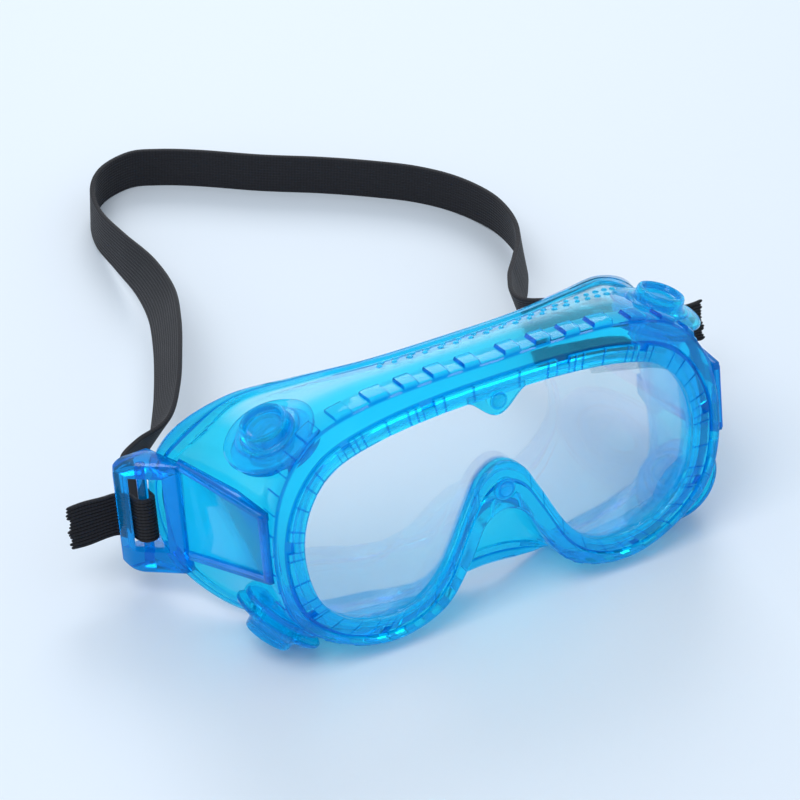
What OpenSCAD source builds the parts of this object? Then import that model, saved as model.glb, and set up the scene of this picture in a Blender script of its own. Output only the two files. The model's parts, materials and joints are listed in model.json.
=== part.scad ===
// Chemical splash goggle: soft moulded frame, flat clear lens, indirect vents, elastic headband.
// Every module is drawn in the lens frame (lens upright, X across the face, Y towards the face)
// and stand() leans it back about the origin, the bridge point on the lens's front face.

/* [Frame moulding] */
// Angle that the goggle leans back when it stands on a table
lean = 12; // [8:1:14]
// Depth of the rim from its front lip to the start of the wall
rim_depth = 8; // [7:0.5:9]
// Thickness of the frame's wall
wall_t = 1.8; // [1.5:0.1:2.5]
// Half thickness of the bead round the face flange
bead = 1.5; // [1.2:0.1:2]

/* [Lens] */
// Thickness of the lens
lens_t = 2; // [1.5:0.1:2]
// Depth of the groove that the lens sits in
groove = 3; // [2:0.5:4]
// Front face of the lens behind the front lip
lens_y = 1.8; // [1.5:0.1:2]
// Radius of the pegs that locate the lens
peg_r = 2.4; // [2:0.1:2.8]

/* [Vents] */
// Radius of a vent cap's brim
brim_r = 13.5; // [12:0.5:14]
// Radius of a vent stem, which turns in its seat
stem_r = 5; // [4.5:0.5:5.5]
// Radial clearance of the stem in the seat and of the cap on the stem
running = 0.05; // [0.03:0.01:0.08]

/* [Headband] */
// Width of the elastic band
band_w = 13.5; // [12:0.5:16]
// Thickness of the elastic band
band_t = 1.6; // [1.2:0.1:2]
// Length of the free tail beyond the wrap
tail = 17; // [8:1:24]

/* [Hidden] */

lens_gap = 0.1;
bridge = [0, lens_y + lens_gap, -8];
floor_z = -56.6;
steps = 4;
pvc = [0.05, 0.62, 0.9, 0.75];
clear = [0.85, 0.93, 0.97, 0.4];
elastic = [0.05, 0.05, 0.06];
$fn = 48;

// Half outlines, from the top centre round the right side to the nose: the open window of the rim,
// the rim's outer edge, and the edge of the flange that seals on the face.
window_half = [[0, 3], [20, 2.6], [38, 0.6], [52, -3.8], [60, -13], [63, -26], [60, -41],
    [51, -50.5], [39, -54], [28, -52], [19.5, -44], [11.5, -29.5], [6.5, -21.2], [0, -18]];
rim_half = [[0, 14], [22, 14], [42, 12.5], [58, 7.5], [69, -6], [72.5, -25], [69.5, -43],
    [60, -54], [46, -61], [33, -61.8], [20.5, -57], [12, -46], [6.5, -36.5], [0, -33.5]];
flange_half = [[0, 29.2, 8.6], [24, 30.4, 8.2], [44, 36.8, 6.4], [61.3, 44.9, 2.9], [76, 53.4, -7.6], [80.5, 59, -25],
    [79, 50, -44], [68, 34, -55], [50, 27, -58.5], [34, 24, -59.5], [22, 20.5, -59.8],
    [13, 18, -58.5], [6.5, 16.5, -57], [0, 16, -56.3]];

function flip(p) = len(p) == 2 ? [-p.x, p.y] : [-p.x, p.y, p.z];
function whole(half) = concat(half, [for (i = [len(half) - 2:-1:1]) flip(half[i])]);
function spline(a, b, c, d, t) =
    0.5 * (2 * b + (c - a) * t + (2 * a - 5 * b + 4 * c - d) * t * t + (3 * b - a - 3 * c + d) * t * t * t);
function ring(half, c = undef) =
    let (p = whole(half), n = len(p))
    [for (i = [0:n - 1], k = [0:steps - 1])
        spline(p[(i + n - 1) % n], p[i], p[(i + 1) % n], p[(i + 2) % n], k / steps)];
function unit(v) = v / norm(v);
function at(p, y) = [p.x, y, p.y];

window = ring(window_half);
rim = ring(rim_half);
flange = ring(flange_half);
stations = len(window);
across = [0, 0.2, 0.4, 0.6, 0.8, 0.94, 1];
last = len(across) - 1;

// The wall leaves the rim straight back and bends towards the flange
function wall_point(s, v) =
    let (a = at(rim[s], rim_depth), b = flange[s], m = a + [0, (b.y - a.y) * 0.5, 0])
    (1 - v) * (1 - v) * a + 2 * v * (1 - v) * m + v * v * b;
walls = [for (s = [0:stations - 1]) [for (v = across) wall_point(s, v)]];
function along(s, j) = walls[(s + 1) % stations][j] - walls[(s + stations - 1) % stations][j];
function back(s, j) = walls[s][min(j + 1, last)] - walls[s][max(j - 1, 0)];
function outward(s, j) = unit(cross(along(s, j), back(s, j)));

// One cross-section of the moulding: front lip, lens groove, rear lip, inner wall, bead, outer wall
function section(s) =
    let (a = window[s], b = rim[s], w = norm(b - a), g = a + (b - a) * groove / w,
        e = walls[s][last], n = outward(s, last), d = unit(back(s, last)))
    concat(
        [at(a, 0), at(a, lens_y), at(g, lens_y), at(g, lens_y + lens_t), at(a, lens_y + lens_t),
            at(a + (b - a) * 0.06, lens_y + lens_t + 2), at(a + (b - a) * 0.6, rim_depth - 0.6)],
        [for (j = [1:last - 1]) walls[s][j] - wall_t * outward(s, j)],
        [e - bead * n, e - bead * 0.5 * n + bead * 0.8 * d, e + bead * 0.5 * n + bead * 0.8 * d, e + bead * n],
        [for (j = [last - 1:-1:0]) walls[s][j]],
        [at(b, 1.2), at(b + (a - b) * 0.1, 0)]);

module loft(sections) {
    n = len(sections);
    k = len(sections[0]);
    faces = [for (i = [0:n - 1], j = [0:k - 1])
        let (i2 = (i + 1) % n, j2 = (j + 1) % k)
        each [[i * k + j, i2 * k + j, i2 * k + j2], [i * k + j, i2 * k + j2, i * k + j2]]];
    polyhedron([for (s = sections) each s], faces, convexity = 8);
}

module stand() {
    rotate([-lean, 0, 0]) translate(-bridge) children();
}

module side(s) {
    if (s > 0) children();
    else mirror([1, 0, 0]) children();
}

// Vent places on the right side: the point on the wall and the direction the vent faces
upper_at = [61.3, 17, 1.2];
upper_n = [0.36, -0.1, 0.93];
lower_at = [64.1, 16, -50.2];
lower_n = [0.64, 0.1, -0.765];

// Puts +Z along the direction n at the point p
module facing(p, n) {
    translate(p) rotate([0, acos(n.z / norm(n)), atan2(n.y, n.x)]) children();
}

hub_r = 7.5;
seat_r = 12;
seat_top = 1.2;
hub_low = -3.5;

module vent_hole(p, n) {
    facing(p, n) {
        translate([0, 0, -12]) cylinder(r = hub_r, h = 30);
        translate([0, 0, seat_top]) cylinder(r = brim_r + 0.6, h = 14);
    }
}

module frame_shell() {
    color(pvc) stand() difference() {
        loft([for (s = [0:stations - 1]) section(s)]);
        for (s = [-1, 1]) side(s) {
            vent_hole(upper_at, upper_n);
            vent_hole(lower_at, lower_n);
        }
    }
}

top_peg_z = 1.7;
nose_peg_z = -26;
tab_half = 9.2;
tab_drop = 6;
tab_top = 4.6;
tab_rim = 3;
land = 0.1;
land_inset = 0.45;

// Height of the top tab's lower edge: a tongue that runs into the rim with soft shoulders
function tab_edge(x, grow = 0) =
    tab_rim - grow - tab_drop * pow(0.5 + 0.5 * cos(180 * min(1, abs(x) / (tab_half + grow))), 0.75);
function tab_outline(grow = 0) =
    let (w = tab_half + grow)
    concat([[w, tab_top], [-w, tab_top]], [for (i = [0:24]) let (x = -w + i * w / 12) [x, tab_edge(x, grow)]]);

function inset_window(d) = [for (s = [0:stations - 1])
    let (a = window[s], b = rim[s]) a + (b - a) * d / norm(b - a)];

// The viewing area stands a little proud of the edge that sits in the groove
module lens() {
    slack = 0.25;
    body = lens_t - 2 * lens_gap - land;
    color(clear) stand() translate([0, lens_y + lens_t - lens_gap, 0]) rotate([90, 0, 0]) difference() {
        union() {
            linear_extrude(body) polygon(inset_window(groove - slack));
            linear_extrude(body + land) difference() {
                polygon(inset_window(-land_inset));
                polygon(tab_outline(land_inset));
            }
        }
        translate([0, top_peg_z, -1]) cylinder(r = peg_r + 0.1, h = lens_t + 2);
    }
}

peg_dome = 1;
nose_r = 3.4;
nose_rise = 0.5;

// A tongue hangs from the rim's front lip and its peg goes through the lens
module top_lens_tab() {
    color(pvc) stand() translate([0, lens_y, 0]) rotate([90, 0, 0]) {
        linear_extrude(lens_y) polygon(tab_outline());
        translate([0, top_peg_z, 0]) {
            translate([0, 0, -lens_t - 1.5]) cylinder(r = peg_r, h = lens_t + 1.6);
            translate([0, 0, lens_y]) cylinder(r1 = peg_r, r2 = peg_r * 0.5, h = peg_dome);
        }
    }
}

// Round boss on the front lip over the nose, with the head of the lower peg
module nose_lens_tab() {
    color(pvc) stand() translate([0, lens_y / 2, nose_peg_z]) rotate([90, 0, 0]) {
        cylinder(r = nose_r, h = lens_y / 2 + nose_rise);
        translate([0, 0, lens_y / 2 + nose_rise]) cylinder(r1 = peg_r, r2 = peg_r * 0.5, h = peg_dome);
    }
}

// Side arm: a hollow wedge outside the wall, between the rim and the strap lug
arm_top = -10.6;
arm_bottom = -32.4;
arm_drop = 12;
arm_plan = [[71.8, 2.5], [73.8, 2], [79, 44], [77, 46.5], [72.4, 20]];
arm_panel = [[72.3, 3.5], [73.3, 3.5], [78.4, 44], [77.2, 44]];
arm_rib = 2.2;
panel_drop = 34;

module side_arm(s) {
    color(pvc) stand() side(s) {
        translate([0, 0, arm_top - arm_rib]) linear_extrude(arm_rib) polygon(arm_plan);
        translate([0, 2, arm_bottom]) rotate([-arm_drop, 0, 0]) translate([0, -2, 0])
            linear_extrude(arm_rib) polygon(arm_plan);
        difference() {
            translate([0, 0, arm_top - panel_drop]) linear_extrude(panel_drop - arm_rib) polygon(arm_panel);
            translate([60, 2, arm_bottom]) rotate([-arm_drop, 0, 0]) translate([0, -20, -30])
                cube([40, 80, 30]);
        }
    }
}

// Strap lug: top and bottom plates, an outer post and the bar that the band wraps
lug_plan = [[76.5, 45], [79.5, 44.5], [91, 55], [92.6, 58], [91.6, 59.6], [80.5, 60]];
lug_top = -12;
lug_bottom = -46;
plate = 2.6;
bar_at = [85.6, 54.4];
bar_r = 1.5;
post_at = [91.2, 57.6];
post_r = 1.6;
lug_root = [[76.5, 45], [79.5, 44.5], [80.4, 46.6], [78, 48]];

module strap_lug(s) {
    span = lug_top - lug_bottom;
    color(pvc) stand() side(s) {
        translate([0, 0, lug_top - plate]) linear_extrude(plate) polygon(lug_plan);
        translate([0, 0, lug_bottom]) linear_extrude(plate) polygon(lug_plan);
        translate([bar_at.x, bar_at.y, lug_bottom]) cylinder(r = bar_r, h = span);
        translate([post_at.x, post_at.y, lug_bottom]) cylinder(r = post_r, h = span);
        translate([0, 0, lug_bottom]) linear_extrude(span) polygon(lug_root);
    }
}

module seat() {
    difference() {
        union() {
            translate([0, 0, -1]) cylinder(r = seat_r, h = seat_top + 1);
            translate([0, 0, hub_low]) cylinder(r = hub_r, h = seat_top - hub_low);
        }
        translate([0, 0, hub_low - 1]) cylinder(r = stem_r + running, h = 12);
    }
}

stem_top = 6;
bore_r = 3.6;

module stem() {
    rotate_extrude() polygon([[bore_r, -5.2], [stem_r + 1.3, -4.6], [stem_r + 1.3, hub_low - 0.3],
        [stem_r, hub_low - 0.3], [stem_r, seat_top + 0.3], [stem_r + 1.5, seat_top + 0.3],
        [stem_r + 1.5, 2.3], [stem_r, 2.3], [stem_r, stem_top], [bore_r, stem_top]]);
    // Crossed webs that hold the splash baffle in the bore
    for (a = [0, 90]) rotate(a) translate([-bore_r - 0.2, -0.5, -3]) cube([2 * bore_r + 0.4, 1, 2]);
}

cup_r = 7;
cup_top = 9;

module cap() {
    rotate_extrude() polygon([[0, stem_top + 0.3], [stem_r + running, stem_top + 0.3], [stem_r + running, 2.6],
        [cup_r, 2.6], [cup_r + 1, 3.6], [brim_r - 1.2, 2.7], [brim_r, 2.4], [brim_r, 3.4],
        [brim_r - 1.5, 4.3], [cup_r + 1.4, 5.4], [cup_r, 6.2], [cup_r - 0.4, cup_top], [cup_r - 1.4, cup_top],
        [cup_r - 1.9, 7.6], [0, 7.6]]);
}

module vent(part, p, n, s) {
    stand() side(s) facing(p, n) {
        if (part == 0) seat();
        if (part == 1) stem();
        if (part == 2) cap();
    }
}

// Headband: a flat band on edge. Each route point is its plan place in the standing frame, its
// height above the table and the angle that the band's top edge leans towards the wearer's head
band_h = 23.6;
loop_route = [[-83.3, 64, 23.6, 0], [-82.2, 68.5, 23.6, 4], [-75, 74.5, 23.6, 16], [-64.5, 80.5, 23.6, 28],
    [-55, 94, 23.3, 33], [-46, 110.5, 22.3, 34], [-38, 127, 20.2, 35], [-31, 144.5, 17, 34],
    [-27, 163.5, 13.6, 24], [-25.8, 183, 10.2, 10], [-24.6, 200.5, 7.8, 4], [-20.2, 214, 7, 0],
    [-12.4, 223, 6.9, 0], [-1, 226.6, 6.9, 0], [8, 223.8, 6.9, 0], [19.5, 217.2, 6.9, 0], [36, 205.5, 6.9, 0],
    [52.5, 195.3, 6.9, 0], [66.8, 185.2, 6.9, 0], [77.7, 176, 6.9, 0], [86, 164.8, 7, 0],
    [90.6, 150.6, 7.6, 2], [89.6, 136, 8.8, 6], [84.6, 123, 10.6, 12], [77, 111.5, 12.8, 19],
    [69, 100.5, 15.4, 22], [62.8, 87.5, 18.6, 18], [68, 78.5, 21.8, 12], [77.5, 72, 23.4, 5], [82.6, 67.5, 23.6, 1],
    [83.3, 64, 23.6, 0]];

function path(p, sub) =
    let (n = len(p))
    concat([for (i = [0:n - 2], k = [0:sub - 1])
        spline(p[max(i - 1, 0)], p[i], p[i + 1], p[min(i + 2, n - 1)], k / sub)], [p[n - 1]]);

function flat_normal(p, i) =
    let (d = p[min(i + 1, len(p) - 1)] - p[max(i - 1, 0)])
    unit([-d.y, d.x, 0]);

module band(route, sub) {
    p = path(route, sub);
    n = len(p);
    w = band_w / 2;
    t = band_t / 2;
    shape = [[-t, -w + t], [0, -w], [t, -w + t], [t, w - t], [0, w], [-t, w - t]];
    k = len(shape);
    points = [for (i = [0:n - 1])
        let (a = p[i][3], m = flat_normal(p, i), out = m * cos(a) + [0, 0, sin(a)], up = [0, 0, cos(a)] - m * sin(a))
        each [for (q = shape) [p[i].x, p[i].y, p[i].z + floor_z] + q.x * out + q.y * up]];
    walls = [for (i = [0:n - 2], j = [0:k - 1])
        let (j2 = (j + 1) % k)
        each [[i * k + j, (i + 1) * k + j, (i + 1) * k + j2], [i * k + j, (i + 1) * k + j2, i * k + j2]]];
    ends = [[for (j = [0:k - 1]) j], [for (j = [k - 1:-1:0]) (n - 1) * k + j]];
    polyhedron(points, concat(walls, ends), convexity = 8);
}

module headband_loop() {
    color(elastic) band(loop_route, 3);
}

// The short stretch between the lug and the loop, where the elastic flexes
module headband_bend(s) {
    color(elastic) side(s) band([[83.2, 51.2, band_h, 0], [83.2, 56, band_h, 0], [83.3, 63.4, band_h, 0]], 3);
}

wrap_z = -30;

function band_plan(p, t) =
    let (n = len(p), m = [for (i = [0:n - 1]) let (d = p[min(i + 1, n - 1)] - p[max(i - 1, 0)]) unit([-d.y, d.x])])
    concat([for (i = [0:n - 1]) p[i] + t / 2 * m[i]], [for (i = [n - 1:-1:0]) p[i] - t / 2 * m[i]]);

// The band goes round the bar and its cut tail sticks out behind the outer post
module headband_wrap(s) {
    r = bar_r + 0.15 + band_t / 2;
    turn = [for (a = [180:-20:0]) bar_at + [r * cos(a), -r * sin(a)]];
    leg_in = [bar_at.x - r, 56.8];
    leg_out = [[bar_at.x + r + 0.3, 57.6], [89.6, 60.4], [92.4, 61.4], [88 + tail, 61.6]];
    color(elastic) stand() side(s) translate([0, 0, wrap_z - band_w / 2]) linear_extrude(band_w)
        polygon(band_plan(concat([leg_in], turn, leg_out), band_t));
}

frame_shell();
lens();
top_lens_tab();
nose_lens_tab();
side_arm(-1);  // side_arm_left
side_arm(1);  // side_arm_right
strap_lug(-1);  // strap_lug_left
strap_lug(1);  // strap_lug_right
color(pvc) vent(0, upper_at, upper_n, -1);  // vent_seat_upper_left
color(pvc) vent(0, upper_at, upper_n, 1);  // vent_seat_upper_right
color(pvc) vent(0, lower_at, lower_n, -1);  // vent_seat_lower_left
color(pvc) vent(0, lower_at, lower_n, 1);  // vent_seat_lower_right
color(pvc) vent(1, upper_at, upper_n, -1);  // vent_stem_upper_left
color(pvc) vent(1, upper_at, upper_n, 1);  // vent_stem_upper_right
color(pvc) vent(1, lower_at, lower_n, -1);  // vent_stem_lower_left
color(pvc) vent(1, lower_at, lower_n, 1);  // vent_stem_lower_right
color(pvc) vent(2, upper_at, upper_n, -1);  // vent_cap_upper_left
color(pvc) vent(2, upper_at, upper_n, 1);  // vent_cap_upper_right
color(pvc) vent(2, lower_at, lower_n, -1);  // vent_cap_lower_left
color(pvc) vent(2, lower_at, lower_n, 1);  // vent_cap_lower_right
headband_loop();
headband_bend(-1);  // headband_bend_left
headband_bend(1);  // headband_bend_right
headband_wrap(-1);  // headband_wrap_left
headband_wrap(1);  // headband_wrap_right
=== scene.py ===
import json
import math
import random

import bpy
from mathutils import Matrix, Vector


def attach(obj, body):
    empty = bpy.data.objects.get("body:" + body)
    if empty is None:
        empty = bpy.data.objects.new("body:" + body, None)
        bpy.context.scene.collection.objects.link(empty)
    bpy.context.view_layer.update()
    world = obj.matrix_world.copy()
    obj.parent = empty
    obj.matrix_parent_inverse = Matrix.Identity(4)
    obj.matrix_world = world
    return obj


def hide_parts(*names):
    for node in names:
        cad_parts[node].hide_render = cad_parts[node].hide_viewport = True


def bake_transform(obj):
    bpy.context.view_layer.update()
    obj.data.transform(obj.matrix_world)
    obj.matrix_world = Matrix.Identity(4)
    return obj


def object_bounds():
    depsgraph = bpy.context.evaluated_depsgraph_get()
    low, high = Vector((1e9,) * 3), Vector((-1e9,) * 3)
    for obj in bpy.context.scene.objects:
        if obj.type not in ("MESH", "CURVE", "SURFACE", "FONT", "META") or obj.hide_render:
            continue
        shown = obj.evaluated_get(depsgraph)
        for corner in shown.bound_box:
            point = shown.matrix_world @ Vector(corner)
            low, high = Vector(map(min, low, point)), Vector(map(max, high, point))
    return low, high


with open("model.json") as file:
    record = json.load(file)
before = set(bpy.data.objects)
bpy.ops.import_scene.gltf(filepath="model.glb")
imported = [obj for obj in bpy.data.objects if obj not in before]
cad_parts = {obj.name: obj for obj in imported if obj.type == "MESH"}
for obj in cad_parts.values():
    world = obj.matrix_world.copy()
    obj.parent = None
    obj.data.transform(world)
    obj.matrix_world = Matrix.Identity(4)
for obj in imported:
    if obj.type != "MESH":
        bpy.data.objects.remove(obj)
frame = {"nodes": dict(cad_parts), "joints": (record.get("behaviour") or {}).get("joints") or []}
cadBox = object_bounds()
random.seed(7)
mm = 0.001

cameraView = {"azimuth": -30.83, "elevation": 37.49, "roll": 1.76, "distance": 1.1506,
              "target": (-0.0039, 0.0463, -0.020), "lens": 180.0}


def addCamera():
    data = bpy.data.cameras.new("camera")
    data.lens = cameraView["lens"]
    data.sensor_width = 36.0
    data.clip_end = 20.0
    camera = bpy.data.objects.new("camera", data)
    bpy.context.scene.collection.objects.link(camera)
    az = math.radians(cameraView["azimuth"])
    el = math.radians(cameraView["elevation"])
    back = Vector((math.sin(az) * math.cos(el), -math.cos(az) * math.cos(el), math.sin(el)))
    turn = (-back).to_track_quat("-Z", "Y").to_matrix().to_4x4()
    turn = turn @ Matrix.Rotation(math.radians(cameraView["roll"]), 4, "Z")
    place = Vector(cameraView["target"]) + back * cameraView["distance"]
    camera.matrix_world = Matrix.Translation(place) @ turn
    bpy.context.scene.camera = camera


addCamera()
bpy.context.scene.view_settings.view_transform = "Standard"
print("camera placed")


class Wire:
    # Wraps a socket so that finishes can be written as plain maths
    def __init__(self, tree, socket):
        self.tree = tree
        self.socket = socket

    def maths(self, operation, other, swapped=False):
        node = self.tree.nodes.new("ShaderNodeMath")
        node.operation = operation
        pair = (other, self) if swapped else (self, other)
        for place, value in zip(node.inputs, pair):
            if isinstance(value, Wire):
                self.tree.links.new(value.socket, place)
            else:
                place.default_value = value
        return Wire(self.tree, node.outputs[0])

    def __add__(self, other):
        return self.maths("ADD", other)

    def __radd__(self, other):
        return self.maths("ADD", other, True)

    def __sub__(self, other):
        return self.maths("SUBTRACT", other)

    def __rsub__(self, other):
        return self.maths("SUBTRACT", other, True)

    def __mul__(self, other):
        return self.maths("MULTIPLY", other)

    def __rmul__(self, other):
        return self.maths("MULTIPLY", other, True)


class Finish:
    def __init__(self, name):
        self.material = bpy.data.materials.new(name)
        self.material.use_nodes = True
        self.tree = self.material.node_tree
        self.shader = self.tree.nodes["Principled BSDF"]
        self.output = self.tree.nodes["Material Output"]

    def node(self, kind, settings=None, values=None, output=0):
        made = self.tree.nodes.new(kind)
        for key, value in (settings or {}).items():
            if key == "stops":
                ramp = made.color_ramp
                while len(ramp.elements) < len(value):
                    ramp.elements.new(0.5)
                for element, (place, colour) in zip(ramp.elements, value):
                    element.position = place
                    element.color = (*colour, 1.0)
            else:
                setattr(made, key, value)
        for key, value in (values or {}).items():
            self.put(made.inputs[key], value)
        return Wire(self.tree, made.outputs[output])

    def put(self, socket, value):
        if isinstance(value, Wire):
            self.tree.links.new(value.socket, socket)
        else:
            socket.default_value = value

    def set(self, **values):
        for key, value in values.items():
            self.put(self.shader.inputs[key.replace("_", " ")], value)

    def noise(self, scale, detail=3.0, rough=0.5):
        place = self.node("ShaderNodeTexCoord", output=3)
        values = {"Vector": place, "Scale": scale, "Detail": detail, "Roughness": rough}
        return self.node("ShaderNodeTexNoise", values=values)

    def blend(self, factor, first, second):
        mixed = self.node("ShaderNodeMix", {"data_type": "RGBA"}, output=2)
        for place, value in ((0, factor), (6, first), (7, (*second, 1.0))):
            self.put(mixed.socket.node.inputs[place], value)
        return mixed

    def bump(self, height, strength, distance):
        values = {"Height": height, "Strength": strength, "Distance": distance}
        return self.node("ShaderNodeBump", values=values)


vinylLook = {
    "rough": 0.04, "index": 1.28, "clear": 0.90, "alpha": 0.96, "ripple": 0.10, "rippleDepth": 0.0005,
    "scuff": 0.05,
    # edge is painted shade, a deeper blue for steps and score lines; thin is painted light, a paler blue for
    # the thin top wall
    "absorb": (0.0, 0.925, 0.988), "edge": (0.0, 0.14, 0.68), "thin": (0.92, 0.97, 1.0),
    # The glow colour and strength are painted light, a faint blue emission
    "glow": (0.0, 0.40, 0.85), "glowStrength": 0.06, "wallDensity": 420.0, "ventDensity": 300.0,
    "wall": ((0.04, 0.80, 0.97), (0.10, 0.87, 0.99)),
    "vent": ((0.02, 0.77, 0.93), (0.05, 0.84, 0.96)),
    # The deep tints are painted shade: a darker copy of the vinyl for the thick arms, steps and buckles
    "deep": ((0.003, 0.31, 0.76), (0.015, 0.43, 0.86)),
}


def clearVinyl(name, density, tints):
    f = Finish(name)
    clouds = f.noise(55.0, 4.0)
    tone = f.node("ShaderNodeValToRGB", {"stops": [(0.3, tints[0]), (0.7, tints[1])]}, {"Fac": clouds})
    # Painted shade: moulded steps and score lines get a deeper blue painted into the colour, and painted light
    # makes a thin wall paler
    edge = f.node("ShaderNodeAttribute", {"attribute_name": "edge"}, output=2)
    thinned = f.blend(edge * -1.0, tone, vinylLook["thin"])
    deep = f.blend(edge, thinned, vinylLook["edge"])
    scuffs = f.noise(900.0, 6.0, 0.7)
    f.set(Base_Color=deep, Roughness=vinylLook["rough"] + scuffs * vinylLook["scuff"], IOR=vinylLook["index"])
    f.set(Transmission_Weight=vinylLook["clear"], Alpha=vinylLook["alpha"])
    f.set(Normal=f.bump(f.noise(140.0, 2.0), vinylLook["ripple"], vinylLook["rippleDepth"]))
    # Painted light: a faint blue emission lifts the darker parts of the vinyl, though it is no lamp
    f.set(Emission_Color=(*vinylLook["glow"], 1.0), Emission_Strength=vinylLook["glowStrength"])
    absorb = f.tree.nodes.new("ShaderNodeVolumeAbsorption")
    absorb.inputs["Color"].default_value = (*vinylLook["absorb"], 1.0)
    absorb.inputs["Density"].default_value = density
    f.tree.links.new(absorb.outputs[0], f.output.inputs["Volume"])
    return f.material


# The lens colour is painted shade: a pale blue tint on the clear lens for the blue-tinted shade inside the
# goggles
lensLook = {"colour": (0.86, 0.94, 0.99, 1.0), "rough": 0.01, "haze": 0.03, "index": 1.45, "alpha": 0.55}


def clearLens():
    f = Finish("lensClear")
    haze = f.noise(600.0, 5.0, 0.65)
    f.set(Base_Color=lensLook["colour"], Roughness=lensLook["rough"] + haze * lensLook["haze"])
    f.set(IOR=lensLook["index"], Transmission_Weight=1.0, Alpha=lensLook["alpha"])
    return f.material


elasticLook = {"dark": (0.0045, 0.0045, 0.007), "light": (0.016, 0.016, 0.023), "rough": 0.6, "fuzz": 0.25,
               "sheen": 0.12, "sheenRough": 0.4, "shine": 0.35, "relief": 0.6, "reliefDepth": 0.00022}


def ribbedElastic():
    f = Finish("elasticBlack")
    weave = f.node("ShaderNodeTexCoord", output=2)
    # Knit loops show as short slanted ticks along each rib
    knit = {"Vector": weave, "Scale": 320.0, "Distortion": 1.8, "Detail": 2.0, "Detail Scale": 2.0}
    ticks = f.node("ShaderNodeTexWave", {"wave_type": "BANDS", "bands_direction": "X"}, knit)
    fuzz = f.noise(2600.0, 4.0, 0.7)
    threads = ticks * 0.3 + fuzz * 0.6
    stops = [(0.2, elasticLook["dark"]), (0.85, elasticLook["light"])]
    tone = f.node("ShaderNodeValToRGB", {"stops": stops}, {"Fac": threads})
    f.set(Base_Color=tone, Roughness=elasticLook["rough"] + fuzz * elasticLook["fuzz"])
    f.set(Sheen_Weight=elasticLook["sheen"], Sheen_Roughness=elasticLook["sheenRough"])
    f.set(Normal=f.bump(threads, elasticLook["relief"], elasticLook["reliefDepth"]))
    f.set(Specular_IOR_Level=elasticLook["shine"])
    return f.material


room = {"floorSize": 8.0, "floor": (0.74, 0.805, 0.885), "world": (0.81, 0.875, 0.935), "worldStrength": 0.78,
        "lights": [("key", (-0.7, -0.2, 1.3), 0.8, 7.6), ("back", (0.55, 1.1, 0.9), 0.7, 6.0)]}


def paleFloor():
    f = Finish("floorPale")
    f.set(Base_Color=(*room["floor"], 1.0), Roughness=0.55)
    return f.material


vinyl = clearVinyl("vinylBlue", vinylLook["wallDensity"], vinylLook["wall"])
ventVinyl = clearVinyl("vinylVent", vinylLook["ventDensity"], vinylLook["vent"])
# Painted shade: a darker copy of the same vinyl for the thick side arms, steps, buckles and bars
shadedVinyl = clearVinyl("vinylDeep", vinylLook["wallDensity"], vinylLook["deep"])
lensFinish = clearLens()
elastic = ribbedElastic()
print("finishes made")

leanAngle = math.radians(12)
bridge = Vector((0.0, 1.9, -8.0))
upright = Matrix.Rotation(math.pi / 2, 4, "X")
stand = Matrix.Rotation(-leanAngle, 4, "X") @ Matrix.Translation(-bridge)


def pickOnly(obj):
    bpy.ops.object.select_all(action="DESELECT")
    obj.select_set(True)
    bpy.context.view_layer.objects.active = obj


def settle(obj, place=stand):
    # The object's own place and the goggle's lean go into the mesh, in metres
    obj.data.transform(Matrix.Scale(mm, 4) @ place @ obj.matrix_world)
    obj.matrix_world = Matrix.Identity(4)


def tidySkin(obj):
    pickOnly(obj)
    bpy.ops.object.mode_set(mode="EDIT")
    bpy.ops.mesh.select_all(action="SELECT")
    bpy.ops.mesh.remove_doubles(threshold=1e-7)
    bpy.ops.mesh.dissolve_degenerate(threshold=1e-7)
    bpy.ops.mesh.select_all(action="SELECT")
    bpy.ops.mesh.normals_make_consistent(inside=False)
    bpy.ops.object.mode_set(mode="OBJECT")


def roundEdges(obj, width, segments=2, sharper=35):
    pickOnly(obj)
    rounding = obj.modifiers.new("rounding", "BEVEL")
    rounding.width = width * mm
    rounding.segments = segments
    rounding.limit_method = "ANGLE"
    rounding.angle_limit = math.radians(sharper)
    rounding.use_clamp_overlap = True
    bpy.ops.object.modifier_apply(modifier="rounding")


def handOver(obj, material, body=None, replaced=(), smooth=38):
    pickOnly(obj)
    bpy.ops.object.shade_smooth_by_angle(angle=math.radians(smooth))
    obj.data.materials.clear()
    obj.data.materials.append(material)
    if body:
        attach(obj, body)
    if replaced:
        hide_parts(*replaced)
    return obj


def cutOut(obj, cutter, operation="DIFFERENCE"):
    pickOnly(obj)
    cut = obj.modifiers.new("cut", "BOOLEAN")
    cut.object = cutter
    cut.operation = operation
    cut.solver = "EXACT"
    bpy.ops.object.modifier_apply(modifier="cut")
    bpy.data.objects.remove(cutter, do_unlink=True)


def outline(name, points, fill="NGON"):
    # A ring of points that becomes a plate or a turned profile
    bpy.ops.object.select_all(action="DESELECT")
    bpy.ops.mesh.primitive_circle_add(vertices=len(points), radius=1.0, fill_type=fill)
    obj = bpy.context.object
    obj.name = name
    obj.data.name = name
    for vertex, point in zip(obj.data.vertices, points):
        vertex.co = point
    return obj


def slab(name, plan, bottom, top, place=stand):
    obj = outline(name, [(x, y, bottom) for x, y in plan])
    bpy.ops.object.mode_set(mode="EDIT")
    bpy.ops.mesh.select_all(action="SELECT")
    bpy.ops.mesh.extrude_region_move(TRANSFORM_OT_translate={"value": (0, 0, top - bottom)})
    bpy.ops.object.mode_set(mode="OBJECT")
    settle(obj, place)
    tidySkin(obj)
    return obj


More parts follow.
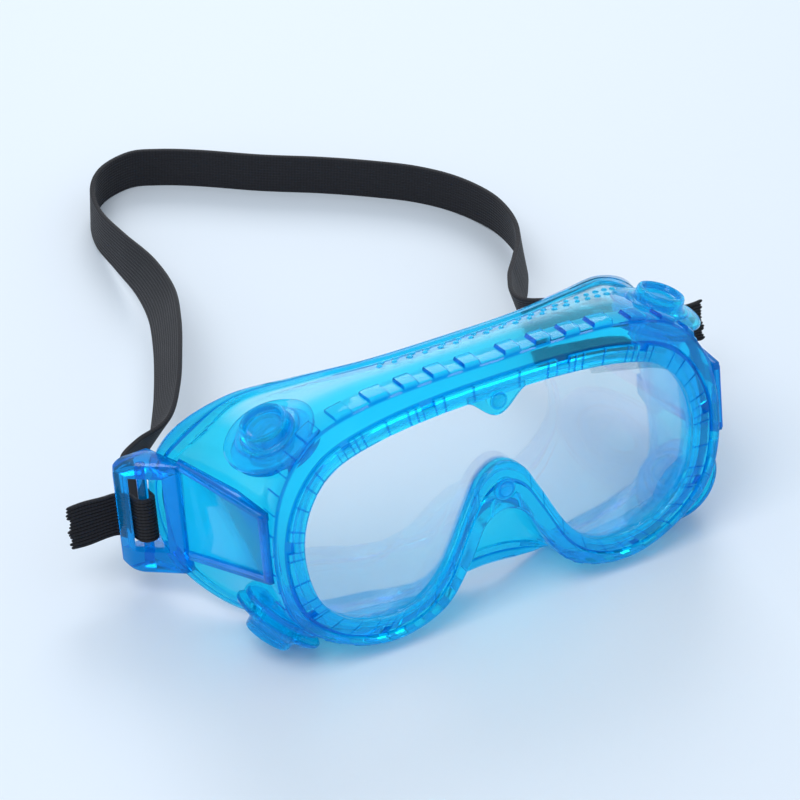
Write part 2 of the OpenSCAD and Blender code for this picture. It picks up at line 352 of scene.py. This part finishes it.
def turned(name, profile, place, steps=64, rings=()):
    # A closed profile in the XZ plane, spun about Z; rings gives the profile points that get painted shade as
    # darker lines
    obj = outline(name, [(r, 0, z) for r, z in profile], "NOTHING")
    bpy.ops.object.mode_set(mode="EDIT")
    bpy.ops.mesh.select_all(action="SELECT")
    bpy.ops.mesh.spin(steps=steps, angle=math.tau, center=(0, 0, 0), axis=(0, 0, 1))
    bpy.ops.mesh.select_all(action="SELECT")
    bpy.ops.mesh.remove_doubles(threshold=0.0005)
    bpy.ops.object.mode_set(mode="OBJECT")
    marks = [Vector(profile[k]) for k in rings]
    near = [Vector((vertex.co.xy.length, vertex.co.z)) for vertex in obj.data.vertices]
    dark = [0.5 if any((p - m).length < 0.02 for m in marks) else 0.0 for p in near]
    obj.data.attributes.new("edge", "FLOAT", "POINT").data.foreach_set("value", dark)
    settle(obj, place)
    tidySkin(obj)
    return obj


def merge(parts, name):
    bpy.ops.object.select_all(action="DESELECT")
    for part in parts:
        part.select_set(True)
    bpy.context.view_layer.objects.active = parts[0]
    bpy.ops.object.join()
    parts[0].name = name
    parts[0].data.name = name
    return parts[0]


def meshPiece(name, points, faces, place=stand):
    mesh = bpy.data.meshes.new(name)
    mesh.from_pydata([list(p) for p in points], [], faces)
    obj = bpy.data.objects.new(name, mesh)
    bpy.context.scene.collection.objects.link(obj)
    settle(obj, place)
    return obj


def spline(a, b, c, d, t):
    square, cube = 2 * a - 5 * b + 4 * c - d, 3 * b - a - 3 * c + d
    return 0.5 * (2 * b + (c - a) * t + square * t * t + cube * t ** 3)


def gridFaces(rows, columns, closedRows, closedColumns):
    faces = []
    for i in range(rows if closedRows else rows - 1):
        for j in range(columns if closedColumns else columns - 1):
            i2, j2 = (i + 1) % rows, (j + 1) % columns
            faces.append((i * columns + j, i2 * columns + j, i2 * columns + j2, i * columns + j2))
    return faces


shell = {
    "wall": 1.8, "rimDepth": 8.0, "lensFront": 1.8, "lensThick": 2.0, "groove": 3.0, "bead": 1.5, "spacing": 13,
    "window": [(0, 3), (20, 2.6), (38, 0.6), (52, -3.8), (60, -13), (63, -26), (60, -41), (51, -50.5),
               (39, -54), (28, -52), (19.5, -44), (11.5, -29.5), (6.5, -21.2), (0, -18)],
    "rim": [(0, 14), (22, 14), (42, 12.5), (58, 7.5), (69, -6), (72.5, -25), (69.5, -43), (60, -54),
            (46, -61), (33, -61.8), (20.5, -57), (12, -46), (6.5, -36.5), (0, -33.5)],
    "flange": [(0, 29.2, 8.6), (24, 30.4, 8.2), (44, 36.8, 6.4), (61.3, 44.9, 2.9), (76, 53.4, -7.6),
               (80.5, 59, -25), (79, 50, -44), (68, 34, -55), (50, 27, -58.5), (34, 24, -59.5),
               (22, 20.5, -59.8), (13, 18, -58.5), (6.5, 16.5, -57), (0, 16, -56.3)],
    "across": [0, 0.07, 0.15, 0.25, 0.36, 0.48, 0.6, 0.7, 0.78, 0.85, 0.91, 0.96, 1],
    "lip": 4.6, "lipNearLug": 5.0, "lugPlace": 3.75, "lugSpread": 0.55,
    # Raised pads on the rim's side, score lines and notches on its face, all as places along the ring
    "padRise": 1.1, "lowRise": 0.25, "padsEnd": 3.6, "padPitch": 0.62, "padFirst": 0.18, "noseFrom": 10.7,
    "padSteps": (0.006, 0.022), "score": 0.32, "scoreSteps": (0.012, 0.02), "closest": 0.003,
    "scores": [0.35, 0.8, 1.25, 1.38, 1.75, 2.2, 2.34, 2.75, 3.3, 3.62, 4.05, 4.5, 5.05, 5.5, 5.9, 6.35, 6.8,
               7.3, 7.75, 8.4, 8.9, 9.5, 10.2, 10.9, 11.6],
    "notches": [(0.95, 1.15), (2.45, 2.62), (4.7, 4.9), (6.1, 6.28), (8.0, 8.18)],
    "faceGroove": (6.2, 6.6), "faceInner": 5.3, "notchInner": 3.2, "faceDepth": 1.15,
    # Section points that take the painted shade, a deeper blue, and how much of it
    "outerStep": ((-9, -8), 0.8), "grooveFloor": ((-5, -4), 0.9), "lipGroove": ((-27, -26), 1.0),
    "lipBand": (range(-33, -28), 0.42), "padEnd": ((-12, -11, -10), 1.0), "scoreLine": ((-3, -2, -1), 0.9),
    "thinTo": 3.5, "thinFade": 0.6, "thinFrom": 0.22, "thinRise": 0.2, "innerWall": 7, "outerWall": -14,
}


def wholeRing(half):
    points = [Vector(p) for p in half]
    return points + [Vector((-p[0], *p[1:])) for p in half[-2:0:-1]]


def ringAt(points, u):
    n = len(points)
    i = math.floor(u) % n
    return spline(points[i - 1], points[i], points[(i + 1) % n], points[(i + 2) % n], u - math.floor(u))


def flat(p, y):
    return Vector((p[0], y, p[1]))


class Shell:
    # The moulding is one closed section carried round 26 control places; u runs from 0 to 26
    def __init__(self):
        self.window = wholeRing(shell["window"])
        self.rim = wholeRing(shell["rim"])
        self.flange = wholeRing(shell["flange"])
        self.count = len(self.window)
        self.pads = self.padSpans()
        self.scores = shell["scores"]
        self.notches = shell["notches"]
        self.places = self.stations()

    def fromTop(self, u):
        # Distance from the top centre along either half
        half = self.count / 2
        return u if u <= half else self.count - u

    def padSpans(self):
        spans = []
        u = shell["padFirst"]
        while u < shell["noseFrom"]:
            length = shell["padPitch"] * (0.5 if 1.2 < u < 7.8 else 0.36)
            spans.append((u, u + length))
            u += length * 2
        return spans

    def stations(self):
        places = {round(k / shell["spacing"], 4) for k in range(self.count * shell["spacing"])}
        edges = [edge for span in self.pads + self.notches for edge in span]
        for lines, (near, far) in ((edges, shell["padSteps"]), (self.scores, shell["scoreSteps"])):
            for line in lines:
                for place in (line - far, line - near, line + near, line + far):
                    places.add(round(place, 4))
                    places.add(round(self.count - place, 4))
        ordered = sorted(places)
        return [u for u, later in zip(ordered, ordered[1:] + [self.count + 1]) if later - u > shell["closest"]]

    def wallPoint(self, u, v):
        a = flat(ringAt(self.rim, u), shell["rimDepth"])
        b = ringAt(self.flange, u)
        m = a + Vector((0, (b.y - a.y) * 0.5, 0))
        return (1 - v) ** 2 * a + 2 * v * (1 - v) * m + v * v * b

    def outward(self, u, v):
        along = self.wallPoint(u + 0.04, v) - self.wallPoint(u - 0.04, v)
        back = self.wallPoint(u, min(v + 0.03, 1)) - self.wallPoint(u, max(v - 0.03, 0))
        return along.cross(back).normalized()

    def near(self, half, lines, reach=0.012):
        return any(abs(half - line) < reach for line in lines)

    def edgeWeights(self, u, count):
        # Where the moulding steps, for the painted shade lines in a deeper blue
        half = self.fromTop(u)
        padEnd = self.near(half, [edge for span in self.pads for edge in span])
        notchEnd = self.near(half, [edge for span in self.notches for edge in span])
        scored = self.near(half, self.scores, 0.0125)
        weights = [0.0] * count
        wanted = {"outerStep": True, "grooveFloor": True, "lipGroove": True, "lipBand": True, "padEnd": padEnd,
                  "scoreLine": scored or notchEnd}
        for line, shown in wanted.items():
            places, weight = shell[line]
            for k in places if shown else ():
                weights[k] = weight
        # The top wall is thin between the rim and the flange's lip, so painted light makes it paler there
        thin = min(1.0, max(0.0, (shell["thinTo"] - half) / shell["thinFade"]))
        for k, v in enumerate(shell["across"][1:-3]):
            pale = -thin * min(1.0, max(0.0, (v - shell["thinFrom"]) / shell["thinRise"]))
            weights[shell["innerWall"] + k] = pale
            weights[shell["outerWall"] - k] = pale
        return weights

    def section(self, u):
        half = self.fromTop(u)
        a, b = ringAt(self.window, u), ringAt(self.rim, u)
        w = (b - a).length
        q = (b - a) / w
        lens0, lens1 = shell["lensFront"], shell["lensFront"] + shell["lensThick"]
        g = a + q * shell["groove"]
        rise = shell["padRise"] if half < shell["padsEnd"] else shell["lowRise"]
        raised = rise if any(p0 < half < p1 for p0, p1 in self.pads) else 0.0
        notched = any(n0 < half < n1 for n0, n1 in self.notches)
        front = shell["score"] if self.near(half, self.scores, 0.0125) else 0.0
        inner = shell["notchInner"] if notched else shell["faceInner"]
        groove0, groove1 = shell["faceGroove"]
        low = shell["faceDepth"]
        walls = shell["across"]
        e, n = self.wallPoint(u, 1), self.outward(u, 1)
        d = (e - self.wallPoint(u, 0.96)).normalized()
        t, bead = shell["wall"], shell["bead"]
        nearLug = math.exp(-((half - shell["lugPlace"]) / shell["lugSpread"]) ** 2)
        lip = shell["lip"] + shell["lipNearLug"] * nearLug
        # Front lip, lens groove and rear lip, then the inside of the wall
        points = [flat(a, 0.5 + front * 0.5), flat(a, lens0), flat(g, lens0), flat(g, lens1), flat(a, lens1),
                  flat(a + q * 0.3, lens1 + 1.9), flat(a + q * (w * 0.6), shell["rimDepth"] - 0.6)]
        points += [self.wallPoint(u, v) - t * self.outward(u, v) for v in walls[1:-3]]
        # The flange's bead and lip, with the narrow groove behind the lip
        points += [e - lip * 0.72 * d - bead * 0.9 * n, e - bead * n + 0.2 * d,
                   e - bead * 0.6 * n + bead * 0.7 * d,
                   e + bead * 0.9 * d, e + bead * 0.6 * n + bead * 0.7 * d, e + bead * n + 0.2 * d,
                   e - lip * 0.44 * d + bead * 0.95 * n, e - lip * 0.48 * d + bead * 0.5 * n,
                   e - lip * 0.62 * d + bead * 0.5 * n, e - lip * 0.66 * d + bead * 0.85 * n,
                   e - lip * d + bead * 0.55 * n, e - (lip + 0.35) * d + bead * 0.05 * n]
        limit = 1 - (lip + 1.0) / max((e - self.wallPoint(u, 0)).length, 1.0)
        points += [self.wallPoint(u, min(v, limit * v / walls[-3])) for v in reversed(walls[1:-3])]
        # The rim's side with its pads, then its face from the outer step to the window
        points += [flat(b, 7.4), flat(b + q * raised, 6.9), flat(b + q * raised, 1.7),
                   flat(b + q * (raised - 0.25), 1.25), flat(b - q * 0.5, 1.2), flat(b - q * 0.7, 0.35),
                   flat(b - q * 1.1, 0.1), flat(a + q * groove1, 0.1), flat(a + q * groove0, low),
                   flat(a + q * inner, low), flat(a + q * (inner - 0.15), front), flat(a + q * 1.2, front),
                   flat(a + q * 0.35, 0.05 + front)]
        return points


def makeShell(form):
    sections = [form.section(u) for u in form.places]
    points = [p for section in sections for p in section]
    faces = gridFaces(len(sections), len(sections[0]), True, True)
    obj = meshPiece("frameShell", points, faces)
    # The edge weights paint shade as deeper blue at steps and score lines, and paint light as paler blue on the
    # thin top wall
    edge = obj.data.attributes.new("edge", "FLOAT", "POINT")
    weights = [w for u in form.places for w in form.edgeWeights(u, len(sections[0]))]
    edge.data.foreach_set("value", weights)
    pickOnly(obj)
    bpy.ops.object.mode_set(mode="EDIT")
    bpy.ops.mesh.select_all(action="SELECT")
    bpy.ops.mesh.normals_make_consistent(inside=False)
    bpy.ops.object.mode_set(mode="OBJECT")
    handOver(obj, vinyl, "frame", ["frame_shell"], smooth=32)


form = Shell()
makeShell(form)
print("frame shell made")

droplets = {"rows": ((0.50, 0.0), (0.64, 0.5)), "from": -1.15, "to": 3.1, "pitch": 0.215, "radius": 0.95,
            "rise": 0.55, "stretch": 1.25}


def makeDroplets():
    # Two staggered rows of small raised beads on the top wall
    parts = []
    for across, offset in droplets["rows"]:
        u = droplets["from"] + offset * droplets["pitch"]
        while u < droplets["to"]:
            place = form.wallPoint(u, across)
            normal = form.outward(u, across)
            size = droplets["radius"] * random.uniform(0.8, 1.15)
            bpy.ops.object.select_all(action="DESELECT")
            bpy.ops.mesh.primitive_uv_sphere_add(segments=14, ring_count=8, radius=1)
            bead = bpy.context.object
            turn = normal.to_track_quat("Z", "Y").to_matrix().to_4x4()
            shape = Matrix.Diagonal((size, size * droplets["stretch"], droplets["rise"], 1))
            settle(bead, stand @ Matrix.Translation(place) @ turn @ shape)
            parts.append(bead)
            u += droplets["pitch"]
    obj = merge(parts, "wallBeads")
    tidySkin(obj)
    handOver(obj, vinyl, "frame", smooth=60)


makeDroplets()

arm = {"top": -10.6, "bottom": -32.4, "drop": 12.0, "rib": 2.4, "channel": 0.7, "channelDepth": 0.45,
       "plan": [(71.8, 2.5), (73.8, 2), (79, 44), (77, 46.5), (72.4, 20)],
       "panel": [(72.0, 3.0), (72.9, 3.0), (78.1, 44.6), (77.0, 44.6)],
       "step": [(72.2, 2.3), (74.0, 2.1), (74.5, 4.4), (72.6, 4.6)],
       "turnAt": 2, "low": -44.0, "inset": 1.2, "overlap": 0.6, "ribRound": 0.25, "panelRound": 0.2,
       "below": [(-120, -20), (120, -20), (120, 80), (-120, 80)]}


def sided(plan, side):
    return [(x * side, y) for x, y in plan]


def channel(obj, side):
    # Presses a shallow channel into the rib's outer face, which reads as a double line
    pickOnly(obj)
    bpy.ops.object.mode_set(mode="EDIT")
    bpy.ops.mesh.select_all(action="DESELECT")
    bpy.ops.object.mode_set(mode="OBJECT")
    for face in obj.data.polygons:
        face.select = face.normal.x * side > 0.8 and face.area > 3e-5
    bpy.ops.object.mode_set(mode="EDIT")
    bpy.ops.mesh.select_mode(type="FACE")
    bpy.ops.mesh.inset(thickness=arm["channel"] * mm, depth=-arm["channelDepth"] * mm)
    bpy.ops.object.mode_set(mode="OBJECT")


def makeArms():
    for side, name in ((-1, "left"), (1, "right")):
        hinge = Matrix.Translation((0, arm["turnAt"], arm["bottom"]))
        tilt = Matrix.Rotation(-math.radians(arm["drop"]), 4, "X")
        drop = stand @ hinge @ tilt @ Matrix.Translation((0, -arm["turnAt"], 0))
        plan = sided(arm["plan"], side)
        topRib = slab("armTopRib_" + name, plan, arm["top"] - arm["rib"], arm["top"])
        lowRib = slab("armLowRib_" + name, plan, 0, arm["rib"], drop)
        for rib in (topRib, lowRib):
            channel(rib, side)
            roundEdges(rib, arm["ribRound"])
        handOver(topRib, shadedVinyl, "frame", ["side_arm_" + name])
        handOver(lowRib, shadedVinyl, "frame")
        for label, shape in (("armPanel_", "panel"), ("armStep_", "step")):
            part = slab(label + name, sided(arm[shape], side), arm["low"], arm["top"] - arm["inset"])
            cutOut(part, slab("below", arm["below"], -40, arm["overlap"], drop))
            roundEdges(part, arm["panelRound"])
            handOver(part, shadedVinyl if shape == "step" else vinyl, "frame")


makeArms()
print("side arms made")

buckle = {"plan": [(76.5, 45), (79.5, 44.5), (91, 55), (92.6, 58), (91.6, 59.6), (80.5, 60)],
          "hollow": [(82.6, 47.4), (83.3, 45.2), (91.2, 52.4), (89.9, 54.2), (89.5, 58.2), (91.6, 61.5),
                     (91.6, 63), (74, 63), (74, 48.8), (79.2, 48.4)],
          "top": -12.0, "bottom": -46.0, "plate": 4.2, "foot": 6.4, "corner": 4.5, "reach": 92.7, "inner": 70,
          "round": 0.45, "bar": (85.6, 54.4), "barRadius": 1.5, "barBury": 2}


def cornerPlan():
    r, low, high = buckle["corner"], buckle["bottom"], buckle["top"]
    points = [(buckle["inner"], high + 1), (buckle["inner"], low - 1)]
    for x, z, first in ((buckle["reach"] - r, low + r, -90), (buckle["reach"] - r, high - r, 0)):
        turns = [math.radians(first + 10 * k) for k in range(10)]
        points += [(x + r * math.cos(turn), z + r * math.sin(turn)) for turn in turns]
    return points


def makeBuckles():
    for side, name in ((-1, "left"), (1, "right")):
        box = slab("buckle_" + name, sided(buckle["plan"], side), buckle["bottom"], buckle["top"])
        # The outer end's top and bottom corners are well rounded before the window is cut
        cutOut(box, slab("rounder", sided(cornerPlan(), side), -70, -40, stand @ upright), "INTERSECT")
        cutOut(box, slab("inner", sided(buckle["hollow"], side), buckle["bottom"] + buckle["foot"],
                         buckle["top"] - buckle["plate"]))
        roundEdges(box, buckle["round"], 2, 40)
        handOver(box, shadedVinyl, "frame", ["strap_lug_" + name])
        bpy.ops.object.select_all(action="DESELECT")
        height = buckle["top"] - buckle["bottom"] - 2 * buckle["barBury"]
        middle = (buckle["top"] + buckle["bottom"]) / 2
        place = (buckle["bar"][0] * side, buckle["bar"][1], middle)
        bpy.ops.mesh.primitive_cylinder_add(vertices=32, radius=buckle["barRadius"], depth=height,
                                            location=place)
        bar = bpy.context.object
        bar.name = "buckleBar_" + name
        bar.data.name = bar.name
        settle(bar)
        handOver(bar, shadedVinyl, "frame")


makeBuckles()
print("buckles made")

tab = {"half": 9.2, "drop": 6.0, "rim": 3.0, "top": 4.8, "depth": 1.7, "back": 0.12, "bell": 0.75, "round": 0.3,
       # pegRings picks profile points that get painted shade as darker rings
       "pegPlace": 1.7, "nosePlace": -26.0, "noseForward": 0.4, "pegRings": (3, 4, 5),
       "peg": [(0, 0.2), (2.7, 0.2), (2.7, 0.55), (2.35, 0.65), (2.15, 0.45), (2.0, 0.5), (1.75, 1.0),
               (1.2, 1.4), (0.6, 1.6), (0, 1.65)],
       "boss": [(0, -0.6), (3.4, -0.6), (3.4, 0.25), (3.1, 0.5), (0, 0.5)],
       "fin": [(1.6, -29.4), (3.4, -28.0), (4.6, -29.0), (5.4, -33.6), (4.4, -33.8), (3.6, -30.4)],
       "finRise": 0.45, "finRound": 0.15}


def makeTabs():
    lensNode = frame["nodes"]["lens"]
    lensNode.data.materials.clear()
    lensNode.data.materials.append(lensFinish)
    edge = []
    for k in range(41):
        x = -tab["half"] + tab["half"] * k / 20
        sag = (0.5 + 0.5 * math.cos(math.pi * x / tab["half"])) ** tab["bell"]
        edge.append((x, tab["rim"] - tab["drop"] * sag))
    shape = [(tab["half"], tab["top"]), (-tab["half"], tab["top"])] + edge
    tongue = slab("topTab", shape, -tab["depth"], -tab["back"], stand @ upright)
    roundEdges(tongue, tab["round"], 2, 50)
    handOver(tongue, vinyl, "frame", ["top_lens_tab"])
    turns = [("topPeg", "peg", 0, tab["pegPlace"], tab["pegRings"], ()),
             ("noseBoss", "boss", 0, tab["nosePlace"], (), ["nose_lens_tab"]),
             ("nosePeg", "peg", -tab["noseForward"], tab["nosePlace"], tab["pegRings"], ())]
    for name, profile, forward, height, rings, replaced in turns:
        place = stand @ Matrix.Translation((0, forward, height)) @ upright
        handOver(turned(name, tab[profile], place, 48, rings), vinyl, "frame", replaced)
    for side, name in ((-1, "left"), (1, "right")):
        ridge = slab("noseFin_" + name, sided(tab["fin"], side), 0.0, tab["finRise"], stand @ upright)
        roundEdges(ridge, tab["finRound"], 2)
        handOver(ridge, vinyl, "frame")


makeTabs()
print("lens and tabs made")

vent = {
    # The ring lists pick profile points that get painted shade as darker blue rings
    "seatRings": (4, 5, 8, 9), "stemRings": (), "capRings": (7, 8, 13, 14, 17, 18, 23, 24, 25),
    "seat": [(5.05, -3.5), (7.5, -3.5), (7.5, -1), (11.6, -1), (12, -0.6), (12, 0.7), (11.5, 1.2), (8.4, 1.2),
             (8.1, 0.8), (7.4, 0.8), (7.1, 1.2), (5.05, 1.2)],
    "stem": [(3.6, -5.2), (5.2, -5.2), (6.3, -4.5), (6.3, -3.8), (5, -3.8), (5, 1.5), (6.5, 1.5), (6.5, 2.3),
             (5, 2.3), (5, 6), (3.6, 6)],
    "cap": [(0, 6.3), (5.05, 6.3), (5.05, 2.6), (7, 2.6), (8, 3.4), (12.2, 2.5), (13.1, 2.2), (13.5, 2.5),
            (13.5, 3.2), (13.1, 3.7), (12.2, 3.75), (11.5, 4.0), (10.2, 4.35), (9.6, 4.45), (9.35, 4.9),
            (8.9, 5.2), (8.2, 5.2), (7.6, 5.6), (7.25, 6.4), (7.1, 8.3), (6.8, 8.8), (6.3, 9), (5.8, 8.9),
            (5.45, 8.5), (5.2, 7.7), (4.8, 7.35), (4.0, 7.25), (0, 7.4)],
}


def makeVents():
    turns = [joint for joint in frame["joints"] if joint["name"].startswith("vent_turn_")]
    for joint in turns:
        key = joint["name"].replace("vent_turn_", "")
        facing = Vector(joint["axis"]).normalized().to_track_quat("Z", "Y").to_matrix().to_4x4()
        place = Matrix.Translation(Vector(joint["pos_m"]) / mm) @ facing
        for part, body, material, slotName in (("seat", "frame", vinyl, "pvc"),
                                               ("stem", "vent_" + key, ventVinyl, "vent"),
                                               ("cap", "cap_" + key, ventVinyl, "vent")):
            name = "vent" + part.capitalize() + "_" + key
            ring = turned(name, vent[part], place, rings=vent[part + "Rings"])
            handOver(ring, material, body, ["vent_" + part + "_" + key], smooth=35)


makeVents()
print("vents made")

strap = {
    "width": 13.5, "thick": 1.6, "ribs": 13, "floor": -56.6, "centre": -30.0, "tail": 17.0, "step": 0.8,
    "loop": [(-83.3, 64, 23.6, 0), (-82.2, 68.5, 23.6, 4), (-75, 74.5, 23.6, 16), (-64.5, 80.5, 23.6, 28),
             (-55, 94, 23.3, 33), (-46, 110.5, 22.3, 34), (-38, 127, 20.2, 35), (-31, 144.5, 17, 34),
             (-27, 163.5, 13.6, 24), (-25.8, 183, 10.2, 10), (-24.6, 200.5, 7.8, 4), (-20.2, 214, 7, 0),
             (-12.4, 223, 6.9, 0), (-1, 226.6, 6.9, 0), (8, 223.8, 6.9, 0), (19.5, 217.2, 6.9, 0),
             (36, 205.5, 6.9, 0), (52.5, 195.3, 6.9, 0), (66.8, 185.2, 6.9, 0), (77.7, 176, 6.9, 0),
             (86, 164.8, 7, 0), (90.6, 150.6, 7.6, 2), (89.6, 136, 8.8, 6), (84.6, 123, 10.6, 12),
             (77, 111.5, 12.8, 19), (69, 100.5, 15.4, 22), (62.8, 87.5, 18.6, 18), (68, 78.5, 21.8, 12),
             (77.5, 72, 23.4, 5), (82.6, 67.5, 23.6, 1), (83.3, 64, 23.6, 0)],
}


def wrapPath(side):
    r = buckle["barRadius"] + 0.15 + strap["thick"] / 2
    bx, by = buckle["bar"]
    points = [(bx - r, 56.8)]
    turns = [math.radians(a) for a in range(180, -1, -10)]
    points += [(bx + r * math.cos(a), by - r * math.sin(a)) for a in turns]
    points += [(bx + r + 0.3, 57.6), (89.6, 60.4), (92.4, 61.4), (96, 61.5), (100, 61.55)]
    points += [(88 + strap["tail"], 61.6)]
    up = stand.to_3x3() @ Vector((0, 0, 1))
    return [(stand @ Vector((x * side, y, strap["centre"])), up) for x, y in points]


def loopPath():
    controls = [Vector(p) for p in strap["loop"]]
    n = len(controls)
    made = []
    for i in range(n - 1):
        before, after = controls[max(i - 1, 0)], controls[min(i + 2, n - 1)]
        made += [spline(before, controls[i], controls[i + 1], after, k / 8) for k in range(8)]
    made.append(controls[-1])
    path = []
    for i, p in enumerate(made):
        d = made[min(i + 1, len(made) - 1)] - made[max(i - 1, 0)]
        out = Vector((-d.y, d.x, 0)).normalized()
        lean = math.radians(p[3])
        up = Vector((0, 0, math.cos(lean))) - out * math.sin(lean)
        path.append((Vector((p[0], p[1], strap["floor"] + p[2])), up))
    return path


def evenly(raw):
    lengths = [0.0]
    for (a, _), (b, _) in zip(raw, raw[1:]):
        lengths.append(lengths[-1] + (b - a).length)
    count = int(lengths[-1] / strap["step"])
    route, k = [], 0
    for i in range(count + 1):
        target = lengths[-1] * i / count
        while k < len(raw) - 2 and lengths[k + 1] < target:
            k += 1
        t = min(max((target - lengths[k]) / max(lengths[k + 1] - lengths[k], 1e-9), 0), 1)
        route.append((raw[k][0].lerp(raw[k + 1][0], t), raw[k][1].lerp(raw[k + 1][1], t).normalized()))
    return route, lengths[-1]


def makeStrap():
    route, total = evenly(wrapPath(-1)[::-1] + loopPath() + wrapPath(1))
    print("headband length", round(total), "mm")
    count = len(route) - 1
    half, thick = strap["width"] / 2, strap["thick"] / 2
    per = 6
    across = strap["ribs"] * per
    points = []
    for i, (p, up) in enumerate(route):
        d = route[min(i + 1, count)][0] - route[max(i - 1, 0)][0]
        side = d.cross(up).normalized()
        # The relaxed ends bunch into round cords; the stretched loop is flatter
        fromEnd = min(i, count - i) * strap["step"]
        depth = 0.24 + 0.44 * min(1, max(0, (52 - fromEnd) / 14))
        squeeze = 1.0 + 0.03 * math.sin(i * 0.35) * (fromEnd < 20)
        for face in (-1, 1):
            for k in range(across + 1) if face < 0 else range(across, -1, -1):
                v = (-half + strap["width"] * k / across) * squeeze
                bulge = abs(math.sin(math.pi * k / per)) ** 0.8
                points.append(p + side * face * thick * (1 - depth + depth * bulge) + up * v)
    n = 2 * (across + 1)
    faces = gridFaces(count + 1, n, False, True)
    faces += [tuple(range(n)), tuple(range(count * n, count * n + n))[::-1]]
    obj = meshPiece("headband", points, faces, Matrix.Identity(4))
    uv = obj.data.uv_layers.new(name="weave")
    for loop in obj.data.loops:
        i, j = divmod(loop.vertex_index, n)
        v = j if j <= across else 2 * across + 1 - j
        uv.data[loop.index].uv = (i * strap["step"] * mm, v * strap["width"] / across * mm)
    pickOnly(obj)
    bpy.ops.object.mode_set(mode="EDIT")
    bpy.ops.mesh.select_all(action="SELECT")
    bpy.ops.mesh.normals_make_consistent(inside=False)
    bpy.ops.object.mode_set(mode="OBJECT")
    handOver(obj, elastic, None, ["headband_loop", "headband_bend_left", "headband_bend_right",
                                             "headband_wrap_left", "headband_wrap_right"], smooth=70)
    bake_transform(obj)
    return route


def makeYarnEnds(route):
    # Cut cords of the tails: each ends in a small rounded tuft of its own length
    for name, end, inner in (("left", route[0], route[3]), ("right", route[-1], route[-4])):
        out = (end[0] - inner[0]).normalized()
        parts = []
        for k in range(strap["ribs"]):
            v = -strap["width"] / 2 + strap["width"] * (k + 0.5) / strap["ribs"]
            reach = random.uniform(0.3, 1.5)
            bpy.ops.object.select_all(action="DESELECT")
            bpy.ops.mesh.primitive_uv_sphere_add(segments=10, ring_count=8, radius=1)
            tuft = bpy.context.object
            aim = out + Vector((0, 0, random.uniform(-0.25, 0.25)))
            turn = aim.to_track_quat("Z", "Y").to_matrix().to_4x4()
            middle = end[0] + end[1] * v + out * (reach * 0.5 - 0.3)
            settle(tuft, Matrix.Translation(middle) @ turn @ Matrix.Diagonal((0.62, 0.5, 0.7 + reach * 0.5, 1)))
            parts.append(tuft)
        ends = merge(parts, "yarnEnds_" + name)
        ends.data.uv_layers[0].name = "weave"
        tidySkin(ends)
        handOver(ends, elastic, "frame", smooth=60)


makeYarnEnds(makeStrap())
print("headband made")


def makeRoom():
    bpy.ops.object.select_all(action="DESELECT")
    bpy.ops.mesh.primitive_plane_add(size=room["floorSize"], location=(0, 0, cadBox[0][2]))
    floor = bpy.context.object
    floor.name = "floor"
    floor.data.materials.append(paleFloor())
    world = bpy.data.worlds.new("studio")
    world.use_nodes = True
    shade = world.node_tree.nodes["Background"]
    shade.inputs["Color"].default_value = (*room["world"], 1)
    shade.inputs["Strength"].default_value = room["worldStrength"]
    bpy.context.scene.world = world
    for name, place, size, power in room["lights"]:
        light = bpy.data.lights.new(name, "AREA")
        light.size = size
        light.energy = power
        lamp = bpy.data.objects.new(name, light)
        bpy.context.scene.collection.objects.link(lamp)
        lamp.location = place
        lamp.rotation_euler = (-Vector(place)).to_track_quat("-Z", "Y").to_euler()


makeRoom()
print("room made")
